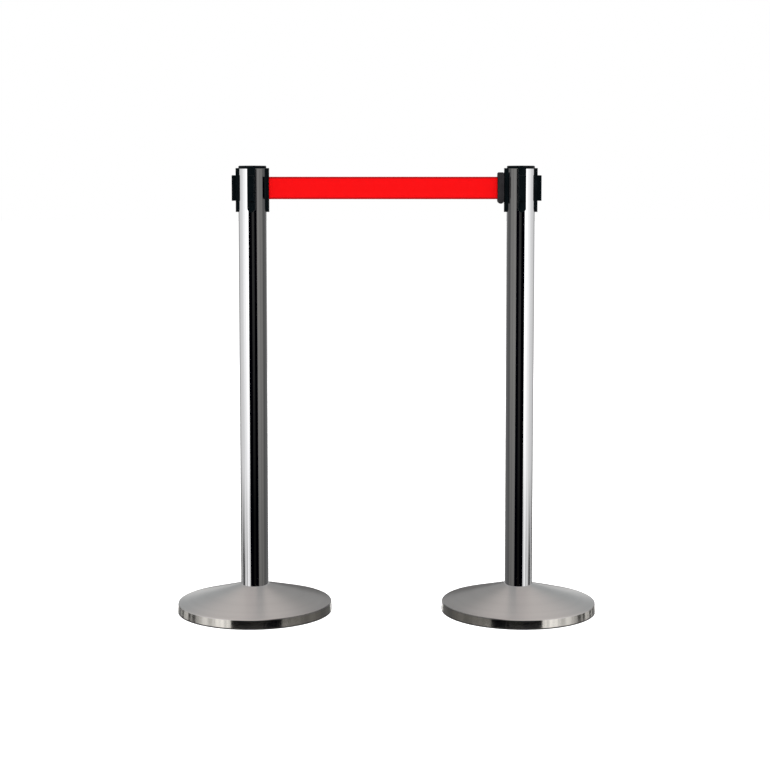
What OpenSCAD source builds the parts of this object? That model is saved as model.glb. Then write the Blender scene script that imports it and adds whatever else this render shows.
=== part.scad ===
// Pair of retractable belt stanchions, joined by the belt of the left one.
// Units are millimetres. +Z is up, the floor is Z = 0, and the origin lies
// on the floor halfway between the two posts. Belts, spools and clips of both
// posts are alike: the left post's belt is drawn out to the right post, and
// the right post's own belt is wound in, with its clip parked at the back.

/* [Pair] */
// Distance between the axes of the two posts
post_spacing = 600; // [420:10:1500]
// Height from the floor to the top of the cap
total_height = 1010; // [900:10:1100]

/* [Base] */
// Outer diameter of the base
base_d = 350; // [300:5:400]
// Height of the polished upright rim above the floor
rim_h = 21.5; // [18:0.5:26]
// Height of the cover's top, which the tube stands on
cover_top_h = 61; // [48:1:66]
// Thickness of the spun steel cover
cover_t = 1.2; // [0.8:0.1:2]
// How much narrower the rim is at its top than at its foot, all round
rim_flare = 1; // [0:0.1:2]
// Radius of the bend between the rim and the cone
rim_bend_r = 3; // [2.2:0.1:5]
// Thickness of the iron disc under the cover
weight_t = 12; // [10:0.5:14]
// Thickness of the gussets between the disc and its hub
gusset_t = 8; // [5:1:12]
// Number of gussets
gussets = 6; // [3:1:10]
// Thickness of the rubber ring under the base
ring_h = 2.5; // [2:0.5:4]
// Width of the rubber ring
ring_w = 18; // [14:0.5:24]
// Width of the ring's bead, which sits in a groove of the disc
bead_w = 5; // [3:0.5:8]
// Height of that bead
bead_h = 2; // [1:0.5:3]

/* [Post] */
// Outer diameter of the tube
tube_d = 63; // [62:0.5:66]
// Wall thickness of the tube
tube_wall = 1.5; // [1:0.1:1.6]
// Thickness of the plate welded into the tube's foot
foot_plate_t = 10; // [6:1:16]
// Diameter of the tie bolt
tie_bolt_d = 12; // [8:1:14]
// Width across the flats of the tie bolt's head
tie_head_af = 19; // [16:1:24]
// Height of the tie bolt's head
tie_head_h = 7.5; // [5:0.5:8]
// Diameter of the washer under the tie bolt's head
washer_d = 30; // [24:1:40]
// Thickness of that washer
washer_t = 2.5; // [1.5:0.5:3]

/* [Belt] */
// Width of the belt
belt_w = 50; // [46:0.5:51]
// Thickness of the belt
belt_t = 0.6; // [0.4:0.05:0.7]
// Length of belt that can be drawn out of the head
belt_length = 2000; // [1000:50:2100]
// Length of belt that stays on the spool
belt_reserve = 150; // [80:10:200]
// Depth of the belt's centre line below the top of the cap
belt_drop = 50; // [48:0.5:56]

/* [Receivers] */
// Width of the receiver strips
strip_w = 18; // [16:0.5:20]
// Height of the receiver strips
strip_h = 98; // [94:1:104]
// How far a strip stands proud of the tube
strip_proud = 6; // [4:0.5:8]
// How far a strip's top stands above the tube's top edge
strip_rise = 1.4; // [0:0.1:2]
// Width of the slots in the tube that the strips pass through
slot_w = 14; // [10:0.5:14.5]
// Thickness of a strip's flange inside the tube
flange_t = 1.4; // [1:0.1:1.6]
// Height of the T-shaped rail
rail_h = 57; // [50:1:60]
// Width of the rail's neck
rail_neck_w = 7; // [5:0.5:8]
// Depth of the rail's neck
rail_neck_d = 3.9; // [3:0.1:5]
// Width of the rail's head
rail_head_w = 14; // [11:0.5:16]
// Depth of the rail's head
rail_head_d = 4.5; // [4.5:0.1:6]

/* [Belt clip] */
// Width of the clip
clip_w = 26; // [22:0.5:30]
// Height of the clip above the rail's top
clip_roof = 6.4; // [4:0.2:8]
// How far the clip reaches below the rail
clip_skirt = 6.5; // [4:0.5:9]
// Thickness of the back wall, with the slot for the belt
clip_back_t = 1.3; // [1:0.1:2]
// Thickness of the wall between the pin chamber and the rail's socket
clip_web_t = 1.1; // [0.8:0.1:2]
// Diameter of the pin that holds the belt's loop
clip_pin_d = 1.6; // [1.4:0.1:2]
// Radius of the clip's upright back corners
clip_corner_r = 5; // [3:0.5:6]
// Radius of the clip's upper corners
clip_top_r = 3.5; // [2:0.5:5]

/* [Head] */
// Height of the cap above its seat on the lid
cap_h = 5; // [4:0.5:6]
// Radius of the cap's rounded edge
cap_edge_r = 2.5; // [1.5:0.5:3.5]
// Thickness of the lid's flange on top of the tube
lid_flange_t = 2; // [1.9:0.1:3]
// Depth of the lid's plug inside the tube
lid_plug_h = 3; // [2:0.5:4]
// Wall thickness of the cassette
cassette_wall = 1.4; // [1:0.1:1.5]
// Thickness of the cassette's floor
cassette_floor_t = 3; // [2:0.5:4]
// Diameter of the lid screws' shanks
lid_screw_d = 2.2; // [1.8:0.1:2.4]
// Length of the lid screws
lid_screw_l = 12; // [8:1:16]

/* [Spool] */
// Diameter of the spool's core
core_d = 22; // [20:0.5:26]
// Thickness of the spool's flanges
spool_flange_t = 1.8; // [1.2:0.1:2.4]
// Diameter of the fixed spindle
spindle_d = 8; // [6:0.5:9]
// Diameter of the spindle's arbor, which holds the spring
arbor_d = 12; // [10.5:0.5:13]
// Wall thickness of the bushes
bush_wall = 1.5; // [1:0.1:1.8]
// Length of the bushes
bush_l = 8; // [5:1:12]
// Width of the power spring's strip
spring_w = 13; // [8:0.5:14]
// Thickness of the power spring's strip
spring_t = 0.5; // [0.4:0.05:0.7]
// Number of turns of the power spring
spring_turns = 8; // [5:1:10]
// Wall thickness of the spring barrel
barrel_wall = 1.2; // [0.8:0.1:1.4]
// Thickness of the barrel's cover
barrel_cover_t = 2; // [1.2:0.1:2.5]
// Diameter of the two guide pins at the belt's way out
guide_pin_d = 2.8; // [2:0.1:3]

/* [Clearances] */
// Gap between moulded parts that slide over each other
slide_gap = 0.35; // [0.3:0.05:0.4]
// Gap between parts that are assembled once
fit_gap = 0.2; // [0.1:0.05:0.25]
// Radial gap of a shaft in its bush
running_gap = 0.05; // [0.02:0.01:0.08]
// Gap between the weight and its cover
cover_gap = 1; // [0.5:0.1:1.5]

/* [Hidden] */
$fn = 96;
SIDES = ["left", "right"];
PIECES = ["base_cover", "base_weight", "floor_ring", "tie_bolt", "tie_washer",
          "tube", "foot_plate",
          "cassette_body", "cassette_lid", "lid_screws", "top_cap",
          "belt_outlet", "guide_pins",
          "spindle", "spindle_ring", "spool", "upper_bush", "lower_bush",
          "power_spring", "barrel_cover", "belt_winding",
          "belt", "clip_body", "clip_pin"];
// Directions of the three receivers of each post, as seen from the front
function receiver_ways(side) = side == "left"
    ? [["front", 270], ["back", 90], ["outer", 180]]
    : [["front", 270], ["inner", 180], ["outer", 0]];
// Direction that a post's own belt leaves in
function belt_way(side) = side == "left" ? 0 : 90;
NODES = [for (side = SIDES) each concat(
    [for (piece = PIECES) str(side, "_", piece)],
    [for (way = receiver_ways(side)) str(side, "_receiver_", way[0])])];
node = "all";

// Colours
steel = [0.72, 0.72, 0.74];
satin = [0.60, 0.59, 0.58];
iron = [0.22, 0.22, 0.23];
zinc = [0.62, 0.64, 0.66];
rubber = [0.06, 0.06, 0.06];
black_plastic = [0.04, 0.045, 0.05];
grey_plastic = [0.16, 0.16, 0.165];
white_nylon = [0.88, 0.87, 0.83];
spring_blue = [0.25, 0.27, 0.33];
belt_red = [0.93, 0.05, 0.06];

// Radii of the tube and of what fits inside it
tube_r = tube_d / 2;
tube_ri = tube_r - tube_wall;
face_r = tube_r + strip_proud;
flange_ro = tube_ri - fit_gap;
flange_ri = flange_ro - flange_t;
cassette_ro = flange_ri - fit_gap;
cassette_ri = cassette_ro - cassette_wall;
spool_r = cassette_ri - 0.8;

// Heights of the head, from the cap's top down
cap_z = total_height - cap_h;
tube_top_z = cap_z - lid_flange_t;
plug_z = tube_top_z - lid_plug_h;
strip_top_z = tube_top_z + strip_rise;
strip_z = strip_top_z - strip_h;
belt_z = total_height - belt_drop;
rail_z = belt_z - rail_h / 2;
cassette_top_z = plug_z;

// Base
base_r = base_d / 2;
flat_r = tube_r + 1.5;
cover_hole_r = tube_ri - 3;
rim_top_r = base_r - rim_flare;
bend_x = rim_top_r - rim_bend_r;
cone_a = atan((cover_top_h - rim_h) / (bend_x - flat_r));
weight_r = base_r - rim_flare - cover_t - cover_gap;
weight_top_z = ring_h + weight_t;
hub_r = flat_r - 2;
hub_top_z = cover_top_h - cover_t;
bead_r = base_r - ring_w / 2;
tie_bolt_r = tie_bolt_d / 2;
tie_head_z = ring_h + 1;
washer_z = tie_head_z + tie_head_h;
washer_seat_z = washer_z + washer_t;
washer_seat_r = max(washer_d, tie_head_af / cos(30)) / 2 + 1;

// Spool, spring barrel and spindle
core_r = core_d / 2;
spindle_r = spindle_d / 2;
bush_r = spindle_r + bush_wall;
bush_flange_t = 1;
bush_flange_r = bush_r + 2.5;
belt_room = belt_w + 3;
spool_low_z = belt_z - belt_room / 2;
spool_high_z = belt_z + belt_room / 2;
barrel_top_z = spool_low_z - spool_flange_t;
barrel_r = spool_r - 0.5;
barrel_ri = barrel_r - barrel_wall;
barrel_z = barrel_top_z - spring_w - 3;
barrel_cover_z = barrel_z - barrel_cover_t;
arbor_top_z = barrel_top_z - bush_flange_t - 0.1;
arbor_z = barrel_cover_z - 0.5;
boss_h = 2;
floor_top_z = arbor_z - boss_h;
cassette_z = floor_top_z - cassette_floor_t;
spring_z = barrel_z + 1;
spring_slot_w = spring_t + 0.6;
ring_groove_r = spindle_r - 0.7;
spindle_z = cassette_z - 4;
spindle_top_z = tube_top_z - 1;
lid_boss_r = spindle_r + 4;
lid_boss_z = spool_high_z + spool_flange_t + bush_flange_t + 0.5;
clip_ring_t = 1.2;

// Belt's way out of the head
guide_pin_r = guide_pin_d / 2;
guide_pin_y = guide_pin_r + 0.9;
guide_x = spool_r + 0.5 + guide_pin_r;
outlet_block_x = spool_r + 0.4;
mouth_h = belt_w + 4;
mouth_w = 2.4;
lead_gap = 0.15;

// Belt clip: its own frame starts at the middle of its back wall, at the
// belt's centre line, and X points to the open front of the rail's socket
clip_gap = 0.5;
pin_room = clip_pin_d + 2 * belt_t + 0.65;
pin_x = clip_back_t + pin_room / 2;
clip_pin_r = clip_pin_d / 2;
loop_ri = clip_pin_r + 0.1;
loop_ro = loop_ri + belt_t;
socket_x = clip_back_t + pin_room + clip_web_t;
rail_d = rail_neck_d + rail_head_d;
clip_d = socket_x + slide_gap + rail_d - clip_gap;
socket_top = rail_h / 2 + 0.1;
clip_top = socket_top + clip_roof;
clip_bottom = -rail_h / 2 - clip_skirt;
lip_x = clip_d + clip_gap - rail_neck_d + slide_gap;
drawn_clip_x = post_spacing - face_r - clip_gap - clip_d;
parked_clip_x = face_r + clip_gap;

// Length of belt outside the head and on the spool, for each post
drawn_out = drawn_clip_x - face_r;
function wound_length(side) = belt_length + belt_reserve - (side == "left" ? drawn_out : 0);
function winding_r(side) = sqrt(pow(core_r, 2) + wound_length(side) * belt_t * 1.05 / PI);
function clip_x(side) = side == "left" ? drawn_clip_x : parked_clip_x;

function shown(side, piece) = node == "all" || node == str(side, "_", piece);

// Points of an arc about (x, y), from angle a to angle b
function arc(x, y, r, a, b, steps = 8) =
    [for (i = [0 : steps]) let (t = a + (b - a) * i / steps) [x + r * cos(t), y + r * sin(t)]];

// Outline of a band of thickness t along a line of points
function unit(v) = v / norm(v);
function normal_at(p, i) =
    let (v = unit(p[min(i + 1, len(p) - 1)] - p[max(i - 1, 0)])) [-v[1], v[0]];
function band(p, t) = concat(
    [for (i = [0 : len(p) - 1]) p[i] + normal_at(p, i) * t / 2],
    [for (i = [len(p) - 1 : -1 : 0]) p[i] - normal_at(p, i) * t / 2]);

module place(side) {
    translate([(side == "left" ? -1 : 1) * post_spacing / 2, 0, 0])
        rotate([0, 0, belt_way(side)]) children();
}

module ring(ro, ri, h) {
    difference() {
        cylinder(r = ro, h = h);
        translate([0, 0, -1]) cylinder(r = ri, h = h + 2);
    }
}

// ---- base ----

// Half section of the spun cover: rim, bend, cone and the flat under the tube
module cover_profile() {
    bend_z = rim_h - rim_bend_r * cos(cone_a);
    polygon(concat(
        [[base_r, ring_h]],
        arc(bend_x, bend_z, rim_bend_r, 0, 90 - cone_a),
        [[flat_r, cover_top_h], [cover_hole_r, cover_top_h],
         [cover_hole_r, hub_top_z], [flat_r, hub_top_z]],
        arc(bend_x, bend_z, rim_bend_r - cover_t, 90 - cone_a, 0),
        [[base_r - cover_t, ring_h]]));
}

module base_cover() {
    color(satin) rotate_extrude($fn = 180) cover_profile();
}

module gusset() {
    reach_r = base_r * 0.7;
    translate([0, gusset_t / 2, 0]) rotate([90, 0, 0]) linear_extrude(height = gusset_t)
        polygon([[hub_r - 3, weight_top_z - 1], [reach_r, weight_top_z - 1],
                 [reach_r, weight_top_z], [hub_r, hub_top_z - 6], [hub_r - 3, hub_top_z - 6]]);
}

module base_weight() {
    color(iron) difference() {
        union() {
            translate([0, 0, ring_h]) cylinder(r = weight_r, h = weight_t, $fn = 180);
            translate([0, 0, ring_h]) cylinder(r = hub_r, h = hub_top_z - ring_h);
            for (i = [0 : gussets - 1]) rotate([0, 0, i * 360 / gussets]) gusset();
        }
        // Recess for the bolt's head and washer, and the bolt's way through the hub
        translate([0, 0, ring_h - 1]) cylinder(r = washer_seat_r, h = washer_seat_z - ring_h + 1);
        cylinder(r = tie_bolt_r + fit_gap, h = cover_top_h);
        // Groove for the rubber ring's bead
        translate([0, 0, ring_h - 1])
            ring(bead_r + bead_w / 2 + fit_gap, bead_r - bead_w / 2 - fit_gap, bead_h + fit_gap + 1);
    }
}

module floor_ring() {
    color(rubber) union() {
        ring(base_r - 0.4, base_r - ring_w, ring_h);
        translate([0, 0, ring_h - 0.5]) ring(bead_r + bead_w / 2, bead_r - bead_w / 2, bead_h + 0.5);
    }
}

module tie_bolt() {
    color(zinc) union() {
        translate([0, 0, tie_head_z])
            cylinder(d = tie_head_af / cos(30), h = tie_head_h, $fn = 6);
        translate([0, 0, tie_head_z + tie_head_h - 1])
            cylinder(r = tie_bolt_r, h = cover_top_h + foot_plate_t + 2 - washer_z);
    }
}

module tie_washer() {
    color(zinc) translate([0, 0, washer_z])
        ring(washer_d / 2, tie_bolt_r + fit_gap, washer_t);
}

// ---- post ----

// Upright slot or tongue with a round lower end, along X
module tongue(x0, x1, w, z0, z1) {
    translate([x0, -w / 2, z0 + w / 2]) cube([x1 - x0, w, z1 - z0 - w / 2]);
    translate([x0, 0, z0 + w / 2]) rotate([0, 90, 0]) cylinder(d = w, h = x1 - x0);
}

slot_z = strip_z + (strip_w - slot_w) / 2;

module tube() {
    color(steel) difference() {
        translate([0, 0, cover_top_h]) cylinder(r = tube_r, h = tube_top_z - cover_top_h, $fn = 180);
        translate([0, 0, cover_top_h - 1]) cylinder(r = tube_ri, h = total_height, $fn = 180);
        for (a = [0 : 90 : 270]) rotate([0, 0, a])
            tongue(tube_ri - 3, tube_r + 1, slot_w, slot_z, tube_top_z + 1);
    }
}

module foot_plate() {
    color(zinc) translate([0, 0, cover_top_h]) ring(tube_ri - 0.05, tie_bolt_r + 0.1, foot_plate_t);
}

// ---- head ----

// Strip on the outside of the tube, its neck through the slot, and its flange inside
module strip_body() {
    intersection() {
        translate([0, 0, strip_z - 1]) ring(face_r, tube_r + fit_gap / 2, strip_h + 2);
        tongue(tube_r - 3, face_r + 1, strip_w, strip_z, strip_top_z);
    }
    difference() {
        tongue(flange_ri + 0.5, tube_r + 1.5, slot_w - 2 * fit_gap, slot_z + fit_gap, tube_top_z - 0.1);
        // Room for the lid's plug
        translate([0, 0, plug_z - fit_gap]) cylinder(r = (flange_ro + tube_ri) / 2, h = total_height);
    }
    intersection() {
        translate([0, 0, strip_z]) ring(flange_ro, flange_ri, strip_h);
        translate([0, -strip_w / 2, slot_z + fit_gap])
            cube([tube_r, strip_w, cassette_top_z - fit_gap - slot_z - fit_gap]);
    }
}

module rail() {
    lead_in = 1.2;
    translate([face_r - 0.8, -rail_neck_w / 2, rail_z]) cube([rail_neck_d + 1.3, rail_neck_w, rail_h]);
    translate([face_r, rail_head_w / 2, rail_z]) rotate([90, 0, 0])
        linear_extrude(height = rail_head_w) polygon([
            [rail_neck_d, 0], [rail_d, 0],
            [rail_d, rail_h - lead_in], [rail_d - lead_in, rail_h],
            [rail_neck_d, rail_h]]);
}

module receiver(a) {
    color(black_plastic) rotate([0, 0, a]) union() {
        strip_body();
        rail();
    }
}

module guide_pin_places() {
    for (y = [-guide_pin_y, guide_pin_y]) translate([guide_x, y, 0]) children();
}

module belt_outlet() {
    window_w = 2 * (guide_pin_y + guide_pin_r + 0.6);
    block_z = belt_z - belt_room / 2 - 6;
    color(black_plastic) difference() {
        union() {
            strip_body();
            intersection() {
                translate([outlet_block_x, -strip_w / 2, block_z])
                    cube([tube_r, strip_w, cassette_top_z - fit_gap - block_z]);
                cylinder(r = flange_ri + 0.5, h = total_height);
            }
        }
        // Room for the guide pins and the belt
        translate([outlet_block_x - 1, -window_w / 2, belt_z - belt_room / 2])
            cube([flange_ro - outlet_block_x + 1, window_w, belt_room]);
        // Slot that the belt leaves through, with flared sides
        translate([tube_ri - 4, -mouth_w / 2, belt_z - mouth_h / 2])
            cube([face_r, mouth_w, mouth_h]);
        translate([0, 0, belt_z - mouth_h / 2]) linear_extrude(height = mouth_h)
            polygon([[face_r - 2.5, mouth_w / 2 - 0.1], [face_r + 1, mouth_w / 2 + 3],
                     [face_r + 1, -mouth_w / 2 - 3], [face_r - 2.5, -mouth_w / 2 + 0.1]]);
        // Seats of the guide pins
        guide_pin_places() translate([0, 0, belt_z - belt_room / 2 - 2.5])
            cylinder(r = guide_pin_r + 0.05, h = belt_room + 5);
    }
}

module guide_pins() {
    color(steel) guide_pin_places() translate([0, 0, belt_z - belt_room / 2 - 2.4])
        cylinder(r = guide_pin_r, h = belt_room + 4.8);
}

// Four ribs at 45 degrees to the slots centre the cassette and take the screws
screw_r = (cassette_ri + flange_ro) / 2;
module rib_places() {
    for (a = [45 : 90 : 315]) rotate([0, 0, a]) children();
}

module cassette_body() {
    rib_w = 8;
    color(black_plastic) difference() {
        union() {
            translate([0, 0, cassette_z]) cylinder(r = cassette_ro, h = cassette_top_z - cassette_z);
            intersection() {
                translate([0, 0, cassette_z]) cylinder(r = flange_ro, h = cassette_top_z - cassette_z);
                rib_places() translate([0, -rib_w / 2, 0]) cube([tube_r, rib_w, total_height]);
            }
        }
        difference() {
            translate([0, 0, floor_top_z]) cylinder(r = cassette_ri, h = total_height);
            translate([0, 0, floor_top_z - 1]) cylinder(r = spindle_r + 3, h = boss_h + 0.9);
        }
        // Way through the wall for the belt outlet's block
        translate([cassette_ri - 6, -strip_w / 2 - fit_gap, belt_z - belt_room / 2 - 7])
            cube([tube_r, strip_w + 2 * fit_gap, total_height]);
        translate([0, 0, cassette_z - 1]) cylinder(r = spindle_r + running_gap, h = 12);
        rib_places() translate([screw_r, 0, cassette_top_z - lid_screw_l])
            cylinder(d = lid_screw_d + 0.1, h = lid_screw_l + 1, $fn = 24);
    }
}

module cassette_lid() {
    color(black_plastic) difference() {
        union() {
            translate([0, 0, tube_top_z]) cylinder(r = tube_r - 0.3, h = lid_flange_t);
            translate([0, 0, plug_z]) cylinder(r = flange_ro, h = lid_plug_h + 0.5);
            translate([0, 0, lid_boss_z]) cylinder(r = lid_boss_r, h = plug_z - lid_boss_z + 1);
        }
        translate([0, 0, lid_boss_z - 1]) cylinder(r = spindle_r + running_gap, h = spindle_top_z + 1.3 - lid_boss_z);
        // Recess that centres the cap
        translate([0, 0, cap_z - 1]) cylinder(r = tube_ri / 2, h = 2);
        rib_places() translate([screw_r, 0, plug_z - 1]) {
            cylinder(d = lid_screw_d + 0.3, h = total_height, $fn = 24);
            translate([0, 0, cap_z - plug_z + 1 - 1.5]) cylinder(d = 2 * lid_screw_d, h = 4, $fn = 24);
        }
    }
}

module lid_screws() {
    color(zinc) rib_places() translate([screw_r, 0, 0]) union() {
        translate([0, 0, cap_z - 1.5]) difference() {
            cylinder(d = 2 * lid_screw_d - 0.2, h = 1.4, $fn = 24);
            translate([-0.3, -lid_screw_d, 0.7]) cube([0.6, 2 * lid_screw_d, 2]);
        }
        translate([0, 0, cap_z - 1 - lid_screw_l]) cylinder(d = lid_screw_d, h = lid_screw_l, $fn = 24);
    }
}

module top_cap() {
    cap_r = tube_r - 0.3;
    color(black_plastic) union() {
        translate([0, 0, cap_z]) rotate_extrude($fn = 180) polygon(concat(
            [[0, 0], [cap_r, 0]],
            arc(cap_r - cap_edge_r, cap_h - 0.4 - cap_edge_r, cap_edge_r, 0, 90),
            [[cap_r * 0.5, cap_h - 0.1], [0, cap_h]]));
        translate([0, 0, cap_z - 0.9]) cylinder(r = tube_ri / 2 - fit_gap, h = 1.4);
    }
}

// ---- spool and spring ----

module spindle() {
    color(zinc) difference() {
        union() {
            translate([0, 0, spindle_z]) cylinder(r = spindle_r, h = spindle_top_z - spindle_z);
            translate([0, 0, arbor_z]) cylinder(d = arbor_d, h = arbor_top_z - arbor_z);
        }
        translate([0, 0, cassette_z - 0.1 - clip_ring_t - 0.2]) ring(spindle_r + 1, ring_groove_r, clip_ring_t + 0.2);
        // Slot that holds the spring's inner end
        translate([spindle_r - 2, -spring_slot_w / 2, spring_z - 0.5])
            cube([arbor_d, spring_slot_w, spring_w + 1]);
    }
}

module spindle_ring() {
    color(steel) translate([0, 0, cassette_z - 0.2 - clip_ring_t]) difference() {
        ring(spindle_r + 2.2, ring_groove_r + 0.05, clip_ring_t);
        translate([0, -ring_groove_r * 0.8, -1]) cube([spindle_r + 4, ring_groove_r * 1.6, clip_ring_t + 2]);
    }
}

module spool() {
    color(white_nylon) difference() {
        union() {
            translate([0, 0, barrel_top_z]) cylinder(r = spool_r, h = spool_flange_t);
            translate([0, 0, spool_high_z]) cylinder(r = spool_r, h = spool_flange_t);
            translate([0, 0, barrel_top_z + 0.5]) cylinder(r = core_r, h = belt_room + spool_flange_t);
            translate([0, 0, barrel_z]) ring(barrel_r, barrel_ri, barrel_top_z - barrel_z + 0.5);
        }
        translate([0, 0, barrel_top_z - 1]) cylinder(r = bush_r + 0.02, h = belt_room + 3 * spool_flange_t);
        // Slot in the core for the belt's inner end
        translate([0, -0.6, spool_low_z]) cube([core_r + 1, 1.2, belt_room]);
    }
}

module bush(z, flange_z) {
    color(iron) difference() {
        union() {
            translate([0, 0, z]) cylinder(r = bush_r, h = bush_l);
            translate([0, 0, flange_z]) cylinder(r = bush_flange_r, h = bush_flange_t);
        }
        translate([0, 0, z - 2]) cylinder(r = spindle_r + running_gap, h = bush_l + 4);
    }
}

module upper_bush() {
    top = spool_high_z + spool_flange_t;
    bush(top - bush_l + 0.5, top);
}

module lower_bush() {
    bush(barrel_top_z - 0.5, barrel_top_z - bush_flange_t);
}

module power_spring() {
    r0 = arbor_d / 2 + 0.4 + spring_t / 2;
    r1 = barrel_ri - 0.3 - spring_t / 2;
    steps = 20;
    coil = [for (i = [0 : spring_turns * steps])
        let (t = i / (spring_turns * steps), a = 360 * i / steps)
        (r0 + (r1 - r0) * t) * [cos(a), sin(a)]];
    color(spring_blue) translate([0, 0, spring_z]) union() {
        linear_extrude(height = spring_w) polygon(band(coil, spring_t));
        // Tab in the arbor's slot
        translate([spindle_r - 1, -spring_t / 2, 0]) cube([r0 - spindle_r + 1, spring_t, spring_w]);
    }
}

module barrel_cover() {
    color(white_nylon) translate([0, 0, barrel_cover_z]) ring(barrel_r, arbor_d / 2 + 0.6, barrel_cover_t);
}

// ---- belt ----

module belt_winding(side) {
    color(belt_red) translate([0, 0, belt_z - belt_w / 2])
        ring(winding_r(side), core_r + 0.1, belt_w);
}

// Centre line of the belt from the winding, round a guide pin, to the clip's pin
function belt_line(side) =
    let (r = winding_r(side) + lead_gap + belt_t / 2,
         p = [guide_x, -guide_pin_y],
         a = atan2(p[1], p[0]) - acos((guide_pin_y + r) / norm(p)),
         v = [cos(a), sin(a)])
    concat([r * v],
           arc(p[0], p[1], guide_pin_y, a + 180, 90),
           [[clip_x(side) + pin_x - (loop_ri + loop_ro) / 2, 0]]);

module belt(side) {
    color(belt_red) translate([0, 0, belt_z - belt_w / 2]) union() {
        linear_extrude(height = belt_w) polygon(band(belt_line(side), belt_t));
        translate([clip_x(side) + pin_x, 0, 0]) ring(loop_ro, loop_ri, belt_w);
    }
}

module clip_outline() {
    h = clip_top - clip_bottom;
    foot_r = clip_d / 2;
    // Side view: round foot, rounded upper corners
    module side_view() {
        translate([0, clip_bottom + foot_r]) square([clip_d, h - foot_r - clip_top_r]);
        translate([foot_r, clip_bottom + foot_r]) circle(r = foot_r);
        translate([clip_top_r, clip_top - clip_top_r - 1]) square([clip_d - 2 * clip_top_r, clip_top_r + 1]);
        for (x = [clip_top_r, clip_d - clip_top_r]) translate([x, clip_top - clip_top_r]) circle(r = clip_top_r);
    }
    // Top view: rounded back corners
    module top_view() {
        translate([clip_corner_r, -clip_w / 2]) square([clip_d - clip_corner_r, clip_w]);
        translate([0, -clip_w / 2 + clip_corner_r]) square([clip_corner_r + 1, clip_w - 2 * clip_corner_r]);
        for (y = [-1, 1]) translate([clip_corner_r, y * (clip_w / 2 - clip_corner_r)]) circle(r = clip_corner_r);
    }
    intersection() {
        translate([0, clip_w / 2, 0]) rotate([90, 0, 0]) linear_extrude(height = clip_w) side_view();
        translate([0, 0, clip_bottom - 1]) linear_extrude(height = h + 2) top_view();
    }
}

module clip_body() {
    color(grey_plastic) difference() {
        clip_outline();
        // Socket for the rail: head, then neck
        translate([socket_x, -rail_head_w / 2 - slide_gap, clip_bottom - 1])
            cube([lip_x - socket_x, rail_head_w + 2 * slide_gap, socket_top - clip_bottom + 1]);
        translate([socket_x + 1, -rail_neck_w / 2 - slide_gap, clip_bottom - 1])
            cube([clip_d, rail_neck_w + 2 * slide_gap, socket_top - clip_bottom + 1]);
        // Slot for the belt, chamber for its loop, and the pin's hole
        translate([-1, -belt_t, -belt_w / 2 - 1]) cube([clip_back_t + 2, 2 * belt_t, belt_w + 2]);
        translate([clip_back_t, -pin_room / 2 - 0.1, -belt_w / 2 - 1])
            cube([pin_room, pin_room + 0.2, belt_w + 2]);
        translate([pin_x, 0, -belt_w / 2 - 3]) cylinder(r = clip_pin_r + 0.05, h = belt_w + 6, $fn = 24);
    }
}

module clip_pin() {
    color(steel) translate([pin_x, 0, -belt_w / 2 - 2.9]) cylinder(r = clip_pin_r, h = belt_w + 5.8, $fn = 24);
}

module at_clip(side) {
    translate([clip_x(side), 0, belt_z]) children();
}

for (side = SIDES) place(side) {
    if (shown(side, "base_cover")) base_cover();
    if (shown(side, "base_weight")) base_weight();
    if (shown(side, "floor_ring")) floor_ring();
    if (shown(side, "tie_bolt")) tie_bolt();
    if (shown(side, "tie_washer")) tie_washer();
    if (shown(side, "tube")) tube();
    if (shown(side, "foot_plate")) foot_plate();
    if (shown(side, "cassette_body")) cassette_body();
    if (shown(side, "cassette_lid")) cassette_lid();
    if (shown(side, "lid_screws")) lid_screws();
    if (shown(side, "top_cap")) top_cap();
    for (way = receiver_ways(side))
        if (shown(side, str("receiver_", way[0]))) receiver(way[1] - belt_way(side));
    if (shown(side, "belt_outlet")) belt_outlet();
    if (shown(side, "guide_pins")) guide_pins();
    if (shown(side, "spindle")) spindle();
    if (shown(side, "spindle_ring")) spindle_ring();
    if (shown(side, "spool")) spool();
    if (shown(side, "upper_bush")) upper_bush();
    if (shown(side, "lower_bush")) lower_bush();
    if (shown(side, "power_spring")) power_spring();
    if (shown(side, "barrel_cover")) barrel_cover();
    if (shown(side, "belt_winding")) belt_winding(side);
    if (shown(side, "belt")) belt(side);
    if (shown(side, "clip_body")) at_clip(side) clip_body();
    if (shown(side, "clip_pin")) at_clip(side) clip_pin();
}
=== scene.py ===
# %% [markdown]
# # A pair of retractable belt stanchions
#
# Two posts stand 600 mm apart. Each is a polished steel tube on a weighted cone base, with a
# moulded head that holds a spring-wound belt. The left post's belt is drawn out and its clip
# hangs on a rail of the right post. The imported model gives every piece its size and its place;
# the cells below dress it: the visible shells are modelled afresh with soft edges, and every
# piece gets a finish built from nodes.

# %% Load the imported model
from math import acos, atan2, cos, hypot, pi, radians, sin, tan

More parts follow.
